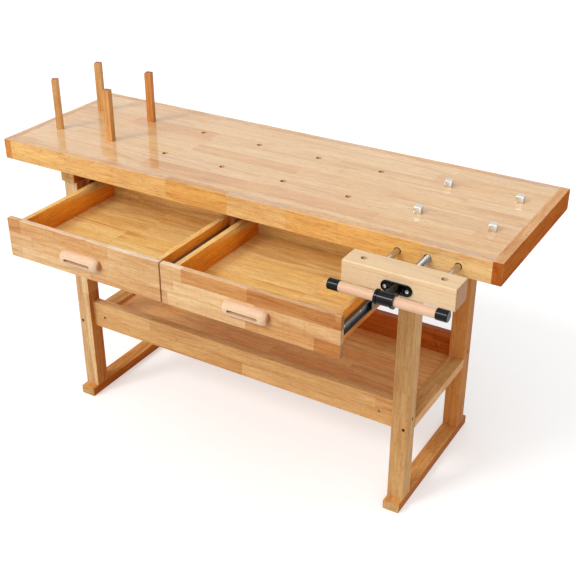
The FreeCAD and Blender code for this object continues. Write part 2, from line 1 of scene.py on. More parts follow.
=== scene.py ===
# %% [markdown]
# # A wooden workbench
# The real object is a bench of glued hardwood staves: a framed top on two trestles, a tray shelf, two
# drawers on steel runners, a front vise, tall square pegs and short metal dogs. The CAD model already has
# every piece in its place, so this lesson loads it as a fixed frame and then works on what CAD leaves out:
# wood, metal and small forms.

# %% Load the bench
import math
import bmesh
import bpy
from mathutils import Euler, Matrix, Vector


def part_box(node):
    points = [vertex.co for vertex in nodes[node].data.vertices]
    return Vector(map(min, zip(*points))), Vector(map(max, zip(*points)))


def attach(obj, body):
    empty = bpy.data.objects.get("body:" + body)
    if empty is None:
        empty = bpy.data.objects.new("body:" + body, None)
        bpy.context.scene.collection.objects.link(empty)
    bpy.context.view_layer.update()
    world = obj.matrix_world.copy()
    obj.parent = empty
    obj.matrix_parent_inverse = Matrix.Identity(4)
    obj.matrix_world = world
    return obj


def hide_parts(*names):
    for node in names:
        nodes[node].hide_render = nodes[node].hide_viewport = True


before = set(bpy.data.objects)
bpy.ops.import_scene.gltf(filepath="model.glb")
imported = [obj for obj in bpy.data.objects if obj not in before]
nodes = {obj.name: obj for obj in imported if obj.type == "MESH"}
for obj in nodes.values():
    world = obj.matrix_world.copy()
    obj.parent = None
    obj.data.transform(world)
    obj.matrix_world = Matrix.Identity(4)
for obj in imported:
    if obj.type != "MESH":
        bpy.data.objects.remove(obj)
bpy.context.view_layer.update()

# %% [markdown]
# ## Camera
# A camera could be placed by eye, but then every edge would lie a little off. Here its place and angles
# come from a fit of the bench's known corners to the picture, so the named values below look odd and still
# make the edges meet. The small shift moves the picture in its frame without turning the camera.

# %% Place the camera
PICTURE_SIZE = 576
SENSOR_WIDTH = 36.0
FOCAL_PIXELS = 1009.0
CAMERA_PLACE = (1.3711, -2.0556, 1.8597)
CAMERA_TURN = math.radians(30.946)
CAMERA_DIP = math.radians(28.973)
CAMERA_SHIFT = (0.0019, -0.0036)
QUARTER_TURN = math.pi / 2

camera_data = bpy.data.cameras.new("photo_camera")
camera_data.sensor_width = SENSOR_WIDTH
camera_data.lens = FOCAL_PIXELS / PICTURE_SIZE * SENSOR_WIDTH
camera_data.shift_x, camera_data.shift_y = CAMERA_SHIFT
camera = bpy.data.objects.new("photo_camera", camera_data)
camera.location = CAMERA_PLACE
camera.rotation_euler = Euler((QUARTER_TURN - CAMERA_DIP, 0.0, CAMERA_TURN))
bpy.context.scene.collection.objects.link(camera)
bpy.context.scene.camera = camera
bpy.context.scene.view_settings.view_transform = "Standard"
print("lens of", round(camera_data.lens, 1), "mm")

# %% [markdown]
# ## Studio light
# The bench stands in a white studio, but so much white all round would wash out the wood. Blender can tell
# rays apart by their kind. The world and the floor turn full white only for rays that the camera or a shiny
# surface sees, and light that bounces off plain surfaces finds them dimmer. The helper gives that answer.

# %% Rays that are seen directly
MIRROR_AND_GLASS = ("Is Glossy Ray", "Is Transmission Ray")


def seen_directly(tree):
    """Socket that is 1 for camera, mirror and glass rays, and 0 for light off plain surfaces."""
    path = tree.nodes.new("ShaderNodeLightPath")
    flag = path.outputs["Is Camera Ray"]
    for ray in MIRROR_AND_GLASS:
        either = tree.nodes.new("ShaderNodeMath")
        either.operation = "MAXIMUM"
        tree.links.new(flag, either.inputs[0])
        tree.links.new(path.outputs[ray], either.inputs[1])
        flag = either.outputs[0]
    return flag


print("white is seen by the camera and by", len(MIRROR_AND_GLASS), "other kinds of ray")

# %% [markdown]
# A key lamp high at the front left is narrow enough for crisp highlights on paint and steel. A very wide
# lamp low at the front shines into the drawers and on the shelf, a wide one overhead lights the top, and a
# pale world fills the rest, so the faces to the right stay darker. Area lamps would fade across a large
# floor. Suns light it evenly, and their angle sets how soft the shadows are.

# %% Light the studio
FILL_LIGHT = 0.54
LAMPS = {
    "key_lamp": (0.95, Vector((-0.36, -0.66, 0.66)), math.radians(14)),
    "low_lamp": (0.90, Vector((-0.22, -0.95, 0.24)), math.radians(70)),
    "ceiling_lamp": (0.90, Vector((-0.05, -0.60, 1.0)), math.radians(80)),
}
WHITE = (1.0, 1.0, 1.0, 1.0)

world = bpy.data.worlds.new("studio")
world.use_nodes = True
bpy.context.scene.world = world
sky = world.node_tree.nodes["Background"]
sky.inputs["Color"].default_value = WHITE
sky_level = world.node_tree.nodes.new("ShaderNodeMapRange")
sky_level.inputs["To Min"].default_value = FILL_LIGHT
world.node_tree.links.new(seen_directly(world.node_tree), sky_level.inputs["Value"])
world.node_tree.links.new(sky_level.outputs["Result"], sky.inputs["Strength"])

for name, (strength, comes_from, width) in LAMPS.items():
    lamp = bpy.data.objects.new(name, bpy.data.lights.new(name, "SUN"))
    lamp.data.energy = strength
    lamp.data.angle = width
    lamp.rotation_euler = comes_from.to_track_quat("Z", "Y").to_euler()
    bpy.context.scene.collection.objects.link(lamp)
print("lamps:", ", ".join(LAMPS), "and a fill of", FILL_LIGHT)

# %% [markdown]
# ## Floor
# A floor that only reflects would look grey beside a white page. A little glow, again only for rays that
# are seen directly, lifts it to white where the lamps reach it, and the soft shadow under the bench stays.

# %% Lay the floor
FLOOR_SIZE = 60.0
FLOOR_DROP = 0.0005
FLOOR_COLOUR = (0.74, 0.74, 0.74, 1.0)
FLOOR_GLOW = 0.40
FLOOR_ROUGHNESS = 0.9

bpy.ops.mesh.primitive_plane_add(size=FLOOR_SIZE, location=(0, 0, -FLOOR_DROP))
floor = bpy.context.object
floor.name = "studio_floor"
floor_finish = bpy.data.materials.new("white_floor")
floor_finish.use_nodes = True
floor_tree = floor_finish.node_tree
floor_shader = floor_tree.nodes["Principled BSDF"]
floor_shader.inputs["Base Color"].default_value = FLOOR_COLOUR
floor_shader.inputs["Roughness"].default_value = FLOOR_ROUGHNESS
floor_shader.inputs["Specular IOR Level"].default_value = 0.0
floor_shader.inputs["Emission Color"].default_value = WHITE
floor_level = floor_tree.nodes.new("ShaderNodeMapRange")
floor_level.inputs["To Max"].default_value = FLOOR_GLOW
floor_tree.links.new(seen_directly(floor_tree), floor_level.inputs["Value"])
floor_tree.links.new(floor_level.outputs["Result"], floor_shader.inputs["Emission Strength"])
floor.data.materials.append(floor_finish)
print("floor of", FLOOR_SIZE, "m")

# %% [markdown]
# ## A sheet for node recipes
# Wood needs twenty or more shader nodes, and linking them one by one hides the idea. This small class keeps
# the tree of one material and gives each kind of node a short call. A call takes numbers or the sockets of
# other nodes, so a recipe reads from top to bottom like a list of steps.

# %% Class for a finish
class Finish:
    """One material and short calls that add nodes to it."""

    def __init__(self, name):
        self.material = bpy.data.materials.new(name)
        self.material.use_nodes = True
        self.tree = self.material.node_tree
        self.shader = self.tree.nodes["Principled BSDF"]

    def add(self, kind, **settings):
        """New node of one kind."""
        node = self.tree.nodes.new("ShaderNode" + kind)
        for setting, value in settings.items():
            setattr(node, setting, value)
        return node

    def feed(self, socket, source):
        """Link a socket to another one, or set it to a number."""
        if isinstance(source, bpy.types.NodeSocket):
            self.tree.links.new(source, socket)
        else:
            socket.default_value = source

    def sum(self, operation, *terms):
        """Result of one sum with one to three terms."""
        node = self.add("Math", operation=operation)
        for socket, term in zip(node.inputs, terms):
            self.feed(socket, term)
        return node.outputs[0]

    def between(self, value, low, high, new_low, new_high):
        """Value carried over from one range to another."""
        node = self.add("MapRange")
        for socket, number in zip(node.inputs, (value, low, high, new_low, new_high)):
            self.feed(socket, number)
        return node.outputs["Result"]

    def relief(self, height, strength, depth):
        """Small bumps that only the light sees."""
        bump = self.add("Bump")
        bump.inputs["Strength"].default_value = strength
        bump.inputs["Distance"].default_value = depth
        self.feed(bump.inputs["Height"], height)
        self.feed(self.shader.inputs["Normal"], bump.outputs["Normal"])


print("a finish holds its own node tree")

# %% [markdown]
# Colours in a picture file are not proportional to light, and shaders need values that are. The helper
# below turns the usual 0 to 255 numbers into linear ones, so every colour in this lesson can be written the
# way a paint chart does. Two more helpers mix colours and pick one from a row.

# %% Colour helpers
CHART_MAX = 255.0
CHART_TOE = 0.04045
CHART_TOE_SLOPE = 12.92
CHART_OFFSET = 0.055
CHART_POWER = 2.4
MIDDLE_WOOD = (205, 150, 90)


def chart_colour(red, green, blue):
    """Linear shader colour from 0 to 255 chart values."""
    linear = []
    for value in (red / CHART_MAX, green / CHART_MAX, blue / CHART_MAX):
        if value <= CHART_TOE:
            linear.append(value / CHART_TOE_SLOPE)
        else:
            linear.append(((value + CHART_OFFSET) / (1 + CHART_OFFSET)) ** CHART_POWER)
    return (*linear, 1.0)


def mixed(finish, share, first, second, how="MIX"):
    """Colour between two colours, by a share from 0 to 1."""
    node = finish.add("Mix", data_type="RGBA", blend_type=how)
    colours = [socket for socket in node.inputs if socket.type == "RGBA"]
    finish.feed(node.inputs[0], share)
    finish.feed(colours[0], first)
    finish.feed(colours[1], second)
    return next(socket for socket in node.outputs if socket.type == "RGBA")


def graded(finish, share, colours):
    """Colour picked along an even row of colours."""
    ramp = finish.add("ValToRGB")
    stops = ramp.color_ramp.elements
    while len(stops) < len(colours):
        stops.new(1.0)
    for index, colour in enumerate(colours):
        stops[index].position = index / (len(colours) - 1)
        stops[index].color = colour
    finish.feed(ramp.inputs[0], share)
    return ramp.outputs["Color"]


print("a middle wood colour in linear light:", [round(part, 3) for part in chart_colour(*MIDDLE_WOOD)])

# %% [markdown]
# Wood is stretched along one direction: a growth line may be a metre long and a millimetre wide. Stretching
# is done on the coordinates before the noise is read. The object's own coordinates are used, in metres, so
# the grain runs through the board like real grain and stays with the piece when a drawer slides.

# %% Texture helpers
AXES = {"X": 0, "Y": 1, "Z": 2}


def stretched(finish, vector, factors):
    """Coordinates multiplied by one factor for each axis."""
    node = finish.add("VectorMath", operation="MULTIPLY")
    finish.feed(node.inputs[0], vector)
    node.inputs[1].default_value = factors
    return node.outputs[0]


def noise(finish, vector, detail, distortion=0.0):
    """Soft random pattern from 0 to 1 with features about one unit wide."""
    node = finish.add("TexNoise")
    finish.feed(node.inputs["Vector"], vector)
    node.inputs["Scale"].default_value = 1.0
    node.inputs["Detail"].default_value = detail
    node.inputs["Distortion"].default_value = distortion
    return node.outputs["Fac"]


def axis_factors(along, along_factor, other_factor):
    """Three factors, one for the grain's direction and one for the two directions across it."""
    factors = [other_factor] * len(AXES)
    factors[AXES[along]] = along_factor
    return factors


def even_noise(finish, spot, scale, detail):
    """Noise that is stretched in no direction."""
    return noise(finish, stretched(finish, spot, (scale,) * len(AXES)), detail)


def grain_noise(finish, spot, along, along_factor, other_factor, detail):
    """Noise that is stretched along the grain."""
    return noise(finish, stretched(finish, spot, axis_factors(along, along_factor, other_factor)), detail)


print("grain can run along", ", ".join(AXES))

# %% [markdown]
# ## Staves
# Every broad face of the bench is glued up from narrow staves, and each stave from shorter lengths. A
# picture of staves would repeat, so the shader counts them: the place across the grain gives the row, and a
# one-dimensional Voronoi pattern cuts each row into uneven lengths. Each length gets three random numbers
# for tone, figure and offset.

# %% Staves and their lengths
ROW_STEP = 5.31
ROW_SLIDE = 17.0
LENGTH_RANDOMNESS = 0.8


def stave_rows(finish, place, across, stave, start):
    """Number of the stave row, and the place across that row from 0 to 1."""
    position = finish.sum("DIVIDE", finish.sum("SUBTRACT", place[AXES[across]], start), stave)
    return finish.sum("FLOOR", position), finish.sum("FRACT", position)


def stave_lengths(finish, place, along, row, length):
    """Random colour of each length in a row, and the distance to its nearest end."""
    slide = finish.add("TexWhiteNoise", noise_dimensions="1D")
    finish.feed(slide.inputs["W"], row)
    steps = finish.sum("DIVIDE", place[AXES[along]], length)
    steps = finish.sum("MULTIPLY_ADD", slide.outputs["Value"], ROW_SLIDE, steps)
    steps = finish.sum("MULTIPLY_ADD", row, ROW_STEP, steps)
    cells = finish.add("TexVoronoi", voronoi_dimensions="1D", feature="F1")
    ends = finish.add("TexVoronoi", voronoi_dimensions="1D", feature="DISTANCE_TO_EDGE")
    for pattern in (cells, ends):
        finish.feed(pattern.inputs["W"], steps)
        pattern.inputs["Scale"].default_value = 1.0
        pattern.inputs["Randomness"].default_value = LENGTH_RANDOMNESS
    return cells.outputs["Color"], finish.sum("MULTIPLY", ends.outputs["Distance"], length)


print("rows are", ROW_STEP, "steps apart in the random pattern")

# %% [markdown]
# ## Figure, fibre and pores
# Growth rings cut at a slant show as long loops, called cathedral figure. Bands read from a slow, stretched
# noise give the same loops for little work: where the noise is flat the bands spread, and where it peaks
# they close into arches. A second noise, stretched far more, makes the fibre, and the highest peaks of a
# third make the dark pores. A fourth lays a few broader reddish streaks, which are mineral lines in this
# wood.

# %% Figure, fibre and pores
FIGURE_ALONG, FIGURE_ACROSS, FIGURE_DETAIL = 1.6, 17.0, 1.5
FIGURE_DISTORTION = 0.3
FIGURE_BANDS = 26.0
FIGURE_SPREAD = 40.0
FIGURE_SHARPNESS = 2.2
FIBRE_ALONG, FIBRE_ACROSS, FIBRE_DETAIL = 22.0, 330.0, 3.0
PORE_ALONG, PORE_ACROSS, PORE_DETAIL = 70.0, 800.0, 1.0
PORE_LEVEL = (0.58, 0.70)
STREAK_ALONG, STREAK_ACROSS, STREAK_DETAIL = 7.0, 120.0, 3.0
STREAK_LEVEL = (0.48, 0.72)
HALF = 0.5


def growth_figure(finish, spot, along, lot):
    """Bands of growth rings from 0 to 1, different in each length of stave."""
    moved = finish.add("VectorMath", operation="ADD")
    finish.feed(moved.inputs[0], stretched(finish, spot, axis_factors(along, FIGURE_ALONG, FIGURE_ACROSS)))
    finish.feed(moved.inputs[1], stretched(finish, lot, (FIGURE_SPREAD,) * len(AXES)))
    slow = noise(finish, moved.outputs[0], FIGURE_DETAIL, FIGURE_DISTORTION)
    wave = finish.sum("SINE", finish.sum("MULTIPLY", slow, FIGURE_BANDS))
    return finish.sum("POWER", finish.sum("MULTIPLY_ADD", wave, HALF, HALF), FIGURE_SHARPNESS)


def fibre_pores_streaks(finish, spot, along):
    """Fine fibre from 0 to 1, and masks of short dark pores and of broader streaks."""
    fibre = grain_noise(finish, spot, along, FIBRE_ALONG, FIBRE_ACROSS, FIBRE_DETAIL)
    pores = grain_noise(finish, spot, along, PORE_ALONG, PORE_ACROSS, PORE_DETAIL)
    streaks = grain_noise(finish, spot, along, STREAK_ALONG, STREAK_ACROSS, STREAK_DETAIL)
    pores = finish.between(pores, *PORE_LEVEL, 0.0, 1.0)
    return fibre, pores, finish.between(streaks, *STREAK_LEVEL, 0.0, 1.0)


print("figure bands in a full swing of the noise:", round(FIGURE_BANDS / math.tau, 1))

# %% [markdown]
# ## Glue lines and end grain
# Where two staves meet, a thin line shows, on some joints reddish and on others hardly at all. The line is
# found from the place across the row. At the end of a board the pores stand open and drink more stain, so
# faces that look along the grain often turn darker. The shader knows them by the object's own normal, which
# turns with the piece.

# %% Glue lines and end grain
GLUE_WIDTH = 0.0007
END_LEVEL = (0.65, 0.85)
MILLIMETRES = 1000


def glue_lines(finish, across_row, stave, end_distance, strength):
    """Mask of the lines between rows and at the ends of lengths."""
    from_middle = finish.sum("ABSOLUTE", finish.sum("SUBTRACT", across_row, HALF))
    to_edge = finish.sum("MULTIPLY", finish.sum("SUBTRACT", HALF, from_middle), stave)
    nearest = finish.sum("MINIMUM", to_edge, end_distance)
    return finish.between(nearest, 0.0, GLUE_WIDTH, strength, 0.0)


def faces_along(finish, axis):
    """Mask of the faces whose normal lies along an axis of the object."""
    parts = finish.add("SeparateXYZ")
    finish.feed(parts.inputs[0], finish.add("TexCoord").outputs["Normal"])
    return finish.between(finish.sum("ABSOLUTE", parts.outputs[axis]), *END_LEVEL, 0.0, 1.0)


print("glue lines are", GLUE_WIDTH * MILLIMETRES, "mm wide")

# %% [markdown]
# ## One recipe for all the wood
# The bench uses one kind of wood in many tones, so one recipe serves, with a short list of what differs:
# the colours, the width and length of the staves, how strong the figure is and how glossy the varnish. A
# dictionary of defaults keeps each call down to the words that matter for that piece. The colours of sides,
# tops and ends multiply the tone, so a value above 255 makes those faces paler than the board. The side and
# top colours are painted light and shade on faces that look left or right and up, and the end colours are
# the end grain.

# %% Words of the recipe
WOOD_DEFAULTS = {
    "stave": 0.05,
    "start": 0.0,
    "length": 0.35,
    "figure": 0.5,
    "fibre": 0.45,
    "streaks": 0.35,
    "glue": 0.5,
    "glue_colour": chart_colour(150, 85, 45),
    # the side and top colours are painted light and shade on faces that look left or right and up; white
    # paints none
    "side": chart_colour(255, 255, 255),
    "top": chart_colour(255, 255, 255),
    "end": chart_colour(205, 165, 130),
    "gloss": 0.38,
    "shine": 0.12,
    "coat": 0.0,
    "coat_gloss": 0.12,
}
print("the recipe has", len(WOOD_DEFAULTS), "words besides the tones")

# %% [markdown]
# Two helpers use these words. The first lays figure, fibre, streaks, pores and glue over the tone of a
# stave, each as a thin wash, and then the colour of the end grain and the painted light and shade of the
# side and top faces. The second makes the varnish: fibre shows through it as a faint change of gloss, and
# joints and pores sink a little.

# %% Colour and surface of the wood
FIGURE_COLOUR = chart_colour(205, 160, 115)
STREAK_COLOUR = chart_colour(212, 152, 104)
PORE_COLOUR = chart_colour(165, 120, 85)
WASHES = {"figure": FIGURE_COLOUR, "fine": FIGURE_COLOUR, "streaks": STREAK_COLOUR, "pores": PORE_COLOUR}
GLOSS_SWING = 0.07
BUMP_DEPTH = 0.0003


def wood_colour(finish, look, masks):
    """Colour of the wood from its tone, with figure, fibre, pores and glue, then end grain and painted light
    and shade on side and top faces laid over it.
    """
    colour = graded(finish, masks["tone"], look["tones"])
    for wash, shade in WASHES.items():
        colour = mixed(finish, masks[wash], colour, shade, "MULTIPLY")
    colour = mixed(finish, masks["glue"], colour, look["glue_colour"])
    # side and top colours are painted light and shade by the way a face looks; end colours are end grain
    for faces in ("side", "top", "end"):
        colour = mixed(finish, masks[faces], colour, look[faces], "MULTIPLY")
    return colour


def wood_surface(finish, look, masks):
    """Gloss and relief of the varnish."""
    glossy = look["gloss"] - GLOSS_SWING
    dull = look["gloss"] + GLOSS_SWING
    finish.feed(finish.shader.inputs["Roughness"], finish.between(masks["fibre"], 0.0, 1.0, glossy, dull))
    height = finish.sum("MULTIPLY_ADD", masks["fibre"], HALF, masks["figure"])
    height = finish.sum("SUBTRACT", height, finish.sum("ADD", masks["glue"], masks["pores"]))
    finish.relief(height, look["fibre"], BUMP_DEPTH)
    finish.shader.inputs["Specular IOR Level"].default_value = look["shine"]
    finish.shader.inputs["Coat Weight"].default_value = look["coat"]
    finish.shader.inputs["Coat Roughness"].default_value = look["coat_gloss"]


print("washes over the tone:", ", ".join(WASHES))

# %% [markdown]
# The recipe itself now only joins the helpers: find the stave, find the length, read the figure and the
# fibre, mask the joints, the end faces and the side and top faces that take painted light and shade, then
# hand all of it to the colour and the surface.

# %% Make a wood finish
FIGURE_RANDOM = (0.25, 1.0)
FINE_LEVEL = (0.35, 0.75)


def stave_wood(name, tones, along, across, **changes):
    """Wood finish whose staves lie side by side across one axis and run along another."""
    look = {**WOOD_DEFAULTS, **changes, "tones": [chart_colour(*tone) for tone in tones]}
    finish = Finish(name)
    spot = finish.add("TexCoord").outputs["Object"]
    place = finish.add("SeparateXYZ")
    finish.feed(place.inputs[0], spot)
    row, across_row = stave_rows(finish, place.outputs, across, look["stave"], look["start"])
    lot, end_distance = stave_lengths(finish, place.outputs, along, row, look["length"])
    random = finish.add("SeparateColor")
    finish.feed(random.inputs[0], lot)
    figure = growth_figure(finish, spot, along, lot)
    fibre, pores, streaks = fibre_pores_streaks(finish, spot, along)
    faint, strong = (look["figure"] * share for share in FIGURE_RANDOM)
    strength = finish.between(random.outputs["Green"], 0.0, 1.0, faint, strong)
    masks = {
        "tone": random.outputs["Red"],
        "figure": finish.sum("MULTIPLY", figure, strength),
        "fibre": fibre,
        "fine": finish.between(fibre, *FINE_LEVEL, 0.0, look["fibre"]),
        "streaks": finish.sum("MULTIPLY", streaks, look["streaks"]),
        "pores": finish.sum("MULTIPLY", pores, look["fibre"]),
        "glue": glue_lines(finish, across_row, look["stave"], end_distance, look["glue"]),
        # faces that look left or right, and up, take the painted light and shade
        "side": faces_along(finish, "X"),
        "top": faces_along(finish, "Z"),
        "end": faces_along(finish, along),
    }
    finish.feed(finish.shader.inputs["Base Color"], wood_colour(finish, look, masks))
    wood_surface(finish, look, masks)
    return finish.material


dressed = set()


def dress(material, *names):
    """Give a finish to CAD pieces by name."""
    for name in names:
        nodes[name].data.materials.clear()
        nodes[name].data.materials.append(material)
        dressed.add(name)
    print(material.name, "on", len(names), "pieces")


print("figure varies between", FIGURE_RANDOM, "of its strength")

# %% [markdown]
# ## Worktop
# The panel is the palest wood of the bench: rows of about 50 mm with pinkish and cream lengths under a
# hard, clear varnish that mirrors the pegs. The aprons are single boards, jointed end to end, in golden
# orange, and the end caps are of the same wood. The right cap's end grain drank more varnish and is dark,
# the left one's is lighter. The top faces of aprons and caps get painted light, paler than their sides,
# and the outer faces of the caps get painted shade.

# %% Dress the worktop
TOP_TONES = [(220, 170, 116), (230, 188, 134), (230, 194, 144),
             (236, 202, 154), (226, 180, 126), (232, 196, 140)]
TOP_GLUE = chart_colour(196, 128, 84)
APRON_TONES = [(236, 182, 100), (238, 192, 118), (236, 186, 106), (234, 197, 136), (238, 188, 104)]
# painted light on the top faces of the aprons
APRON_TOP_LIGHT = chart_colour(246, 255, 318)
CAP_TONES = [(212, 148, 86), (224, 172, 116), (218, 160, 98)]
CAP_ENDS = {"left": chart_colour(241, 222, 180), "right": chart_colour(203, 148, 100)}
# painted light on the top faces of the caps, and painted shade on their outer faces
CAP_TOP_LIGHTS = {"left": chart_colour(270, 314, 395), "right": chart_colour(262, 278, 312)}
CAP_SIDE_SHADE = chart_colour(231, 180, 133)
WHOLE_BOARD = 0.2
EDGE_LOOK = {"stave": WHOLE_BOARD, "start": 0.7, "figure": 0.4}

worktop_wood = stave_wood("worktop_wood", TOP_TONES, "X", "Y", stave=0.052, length=0.36, figure=0.35,
                          fibre=0.34, streaks=0.25, glue=0.4, glue_colour=TOP_GLUE,
                          gloss=0.30, coat=0.75, coat_gloss=0.04)
apron_wood = stave_wood("apron_wood", APRON_TONES, "X", "Z", length=0.19, top=APRON_TOP_LIGHT, coat=0.3,
                        **EDGE_LOOK)
dress(worktop_wood, "top_panel")
dress(apron_wood, "front_apron", "back_apron")
for side in CAP_ENDS:
    cap_wood = stave_wood(side + "_cap_wood", CAP_TONES, "Y", "Z", length=0.5, shine=0.0,
                          end=CAP_ENDS[side], side=CAP_SIDE_SHADE, top=CAP_TOP_LIGHTS[side], **EDGE_LOOK)
    dress(cap_wood, side + "_end_cap")

# %% [markdown]
# ## Trestles and rails
# Legs, feet and beams are laminated from two strips, so their front faces show two tones and their outer
# faces only one. Nobody sorted the legs: the left pair is pale, the right front leg tan and the right back
# leg brown. A side colour on the faces that look left or right paints shade on the left legs and the feet,
# and paints light on the right front leg and the side rails. A top colour paints a little shade on the top
# faces of the feet and beams. The strips are counted so that a joint falls in the middle of each leg.

# %% Dress the trestles and rails
PALE_LEG_TONES = [(222, 190, 142), (230, 202, 158), (214, 178, 128)]
TAN_LEG_TONES = [(190, 149, 95), (203, 163, 109), (197, 155, 102)]
BROWN_LEG_TONES = [(200, 132, 68), (210, 144, 78), (216, 154, 88)]
BEAM_TONES = [(222, 174, 108), (230, 186, 124), (216, 164, 98)]
RAIL_TONES = [(200, 146, 84), (214, 168, 108), (220, 178, 122)]
BACK_RAIL_TONES = [(178, 88, 26), (192, 102, 36), (202, 114, 46)]
BACK_RAIL_GLUE = chart_colour(70, 30, 12)
# painted shade and painted light on faces that look left or right, and painted shade on the tops of feet and
# beams
LEFT_LEG_SIDE_SHADE = chart_colour(232, 180, 126)
RIGHT_LEG_SIDE_LIGHT = chart_colour(288, 292, 294)
FOOT_SIDE_SHADE = chart_colour(228, 172, 118)
FOOT_END = chart_colour(226, 232, 240)
FOOT_TOP_SHADE = chart_colour(252, 236, 216)
SIDE_RAIL_SIDE_LIGHT = chart_colour(278, 276, 302)
LEG_MIDDLE = 0.5315
STRIPS_BETWEEN_LEGS = 43
LEG_STRIP = 2 * LEG_MIDDLE / STRIPS_BETWEEN_LEGS
LEG_LOOK = {"stave": LEG_STRIP, "start": LEG_MIDDLE - LEG_STRIP, "length": 0.9, "shine": 0.02}
RAIL_LOOK = {"stave": 0.043, "start": 0.243, "length": 0.4}
FRAME_SIDES = ("left", "right")

pale_leg_wood = stave_wood("pale_leg_wood", PALE_LEG_TONES, "Z", "X", side=LEFT_LEG_SIDE_SHADE, **LEG_LOOK)
tan_leg_wood = stave_wood("tan_leg_wood", TAN_LEG_TONES, "Z", "X", side=RIGHT_LEG_SIDE_LIGHT, **LEG_LOOK)
brown_leg_wood = stave_wood("brown_leg_wood", BROWN_LEG_TONES, "Z", "X", **LEG_LOOK)
foot_wood = stave_wood("foot_wood", BEAM_TONES, "Y", "X", side=FOOT_SIDE_SHADE, end=FOOT_END, top=FOOT_TOP_SHADE,
                       **LEG_LOOK)
side_rail_wood = stave_wood("side_rail_wood", BEAM_TONES, "Y", "X", side=SIDE_RAIL_SIDE_LIGHT, **LEG_LOOK)
rail_wood = stave_wood("rail_wood", RAIL_TONES, "X", "Z", **RAIL_LOOK)
back_rail_wood = stave_wood("back_rail_wood", BACK_RAIL_TONES, "X", "Z", glue=0.9, streaks=0.8,
                            glue_colour=BACK_RAIL_GLUE, **RAIL_LOOK)
dress(pale_leg_wood, "left_front_leg", "left_back_leg")
dress(tan_leg_wood, "right_front_leg")
dress(brown_leg_wood, "right_back_leg")
dress(foot_wood, *(side + "_" + beam for side in FRAME_SIDES for beam in ("foot_beam", "top_beam")))
dress(side_rail_wood, *(side + "_side_rail" for side in FRAME_SIDES))
dress(rail_wood, "front_rail")
dress(back_rail_wood, "back_rail")

# %% [markdown]
# ## Shelf and hangers
# The shelf panel is redder than the top and less glossy, with staves of about 50 mm. The hanger boards are
# plain inside boards that nobody was meant to look at, so they get weak figure and little shine.

# %% Dress the shelf and the hangers
SHELF_TONES = [(236, 164, 90), (252, 202, 134), (244, 178, 106), (252, 206, 142)]
HANGER_TONES = [(210, 160, 106), (222, 178, 126)]
HANGERS = ("left_hanger", "center_hanger", "right_hanger")

shelf_wood = stave_wood("shelf_wood", SHELF_TONES, "X", "Y", stave=0.048, length=0.27)
hanger_wood = stave_wood("hanger_wood", HANGER_TONES, "Y", "Z", stave=0.06, length=0.8, figure=0.2, shine=0.1)
dress(shelf_wood, "shelf_panel")
dress(hanger_wood, *HANGERS)

# %% [markdown]
# ## Drawers
# The fronts are three rows of staves with brown and pale lengths, and their top faces get painted light.
# Inside, the floors are golden orange and the sides deeper orange, partly from their tones and partly from a
# painted warm shade on their broad faces. Sides run to the back, so their grain does too; the floor and the
# back run across.

# %% Dress the drawers
FRONT_TONES = [(184, 118, 60), (208, 154, 94), (232, 198, 148), (220, 174, 118)]
# painted light on the top faces of the drawer fronts
FRONT_TOP_LIGHT = chart_colour(290, 330, 410)
FRONT_END = chart_colour(238, 234, 232)
FLOOR_TONES = [(244, 200, 122), (248, 212, 142), (246, 206, 130), (250, 216, 152)]
WALL_TONES = [(240, 190, 112), (246, 202, 124), (244, 206, 136)]
# painted warm shade on the broad faces of the drawer sides
WALL_SIDE_SHADE = chart_colour(256, 199, 109)
BACK_TONES = [(250, 216, 140), (252, 224, 154), (251, 220, 146)]
WALL_LOOK = {"stave": 0.042, "start": 0.637, "length": 0.4}

front_wood = stave_wood("drawer_front_wood", FRONT_TONES, "X", "Z", stave=0.0385, start=0.619, length=0.24,
                        top=FRONT_TOP_LIGHT, end=FRONT_END)
floor_wood = stave_wood("drawer_floor_wood", FLOOR_TONES, "X", "Y", stave=0.05, length=0.3)
side_wood = stave_wood("drawer_side_wood", WALL_TONES, "Y", "Z", side=WALL_SIDE_SHADE, **WALL_LOOK)
back_wood = stave_wood("drawer_back_wood", BACK_TONES, "X", "Z", **WALL_LOOK)
drawer_woods = {"front": front_wood, "floor": floor_wood, "inner_side": side_wood, "outer_side": side_wood,
                "back": back_wood}
for board, wood in drawer_woods.items():
    dress(wood, *(side + "_drawer_" + board for side in FRAME_SIDES))

# %% [markdown]
# ## Turned and shaped wood
# Pulls, jaw and bar are cut from single pieces of pale wood and sanded round, so they have one long length
# and soft figure. The four pegs are sticks with straight grain along their height, and no two have quite
# the same tone, so each place has its own.

# %% Dress the shaped wood
JAW_TONES = [(230, 200, 158), (234, 206, 166), (228, 194, 152)]
PULL_TONES = [(224, 191, 158), (229, 197, 165)]
BAR_TONES = [(219, 181, 151), (224, 187, 157)]
PEG_TONES = {
    "inner_front": [(224, 168, 102), (232, 180, 116)],
    "inner_back": [(212, 142, 76), (222, 156, 90)],
    "outer_front": [(216, 166, 104), (224, 178, 118)],
    "outer_back": [(212, 162, 100), (222, 174, 114)],
}
WHOLE_LENGTH = 2.0
PLAIN_LOOK = {"stave": WHOLE_BOARD, "length": WHOLE_LENGTH, "figure": 0.16, "fibre": 0.2, "streaks": 0.1}
PEG_LOOK = {"stave": 0.1, "start": 0.05, "length": WHOLE_LENGTH}

